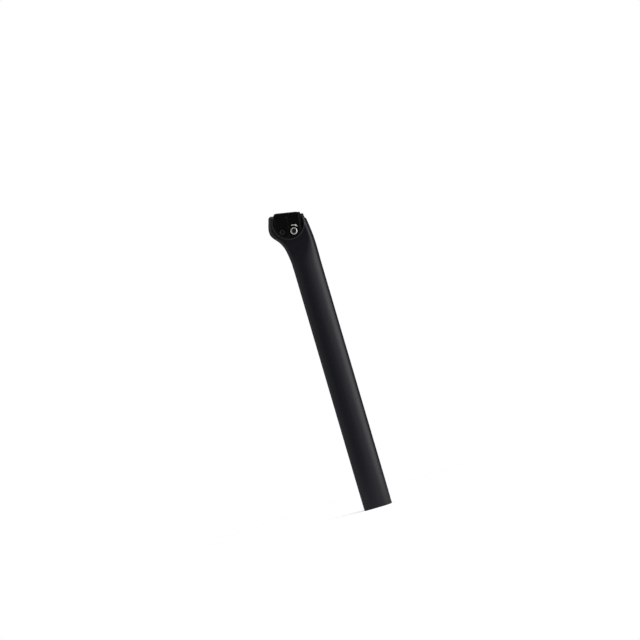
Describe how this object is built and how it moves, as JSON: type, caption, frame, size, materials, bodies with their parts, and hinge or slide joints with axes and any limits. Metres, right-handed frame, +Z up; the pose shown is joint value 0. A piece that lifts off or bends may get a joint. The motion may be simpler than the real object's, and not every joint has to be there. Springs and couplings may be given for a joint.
{
  "type": "bicycle seatpost",
  "caption": "Aero bicycle seatpost: hollow D-section carbon post with a swept-back head and a bolted clamp for round saddle rails that tilts and opens.",
  "frame": {"origin": "centre of the tube's open lower end, on the tube's middle line", "axes": "+Z up the tube to the saddle clamp, +X to the front of the bicycle, -Y to its right-hand side"},
  "size_m": [0.0478, 0.0576, 0.3556],
  "materials": {
    "carbon": "satin clear-coated carbon",
    "black_alloy": "black anodised",
    "bolt_steel": "bare stainless steel",
    "black_steel": "black oxide"
  },
  "bodies": {
    "post": {"carbon_post": "carbon"},
    "cradle": {"inner_jaw_right": "black_alloy", "inner_jaw_left": "black_alloy"},
    "right_jaw": {"outer_jaw_right": "black_alloy", "front_clamp_bolt": "bolt_steel", "front_bolt_washer": "black_steel", "rear_sleeve_nut": "black_steel"},
    "left_jaw": {"outer_jaw_left": "black_alloy", "rear_clamp_bolt": "bolt_steel", "rear_bolt_washer": "black_steel", "front_sleeve_nut": "black_steel"}
  },
  "joints": [
    {"name": "clamp_tilt", "type": "hinge", "parent": "post", "child": "cradle", "pos_m": [-0.0065, 0, 0.3415], "axis": [0, 1, 0], "range_deg": [-8, 8]},
    {"name": "right_jaw_opening", "type": "slide", "parent": "cradle", "child": "right_jaw", "axis": [0, -1, 0], "range_m": [0, 0.003]},
    {"name": "left_jaw_opening", "type": "slide", "parent": "cradle", "child": "left_jaw", "axis": [0, 1, 0], "range_m": [0, 0.003]}
  ]
}
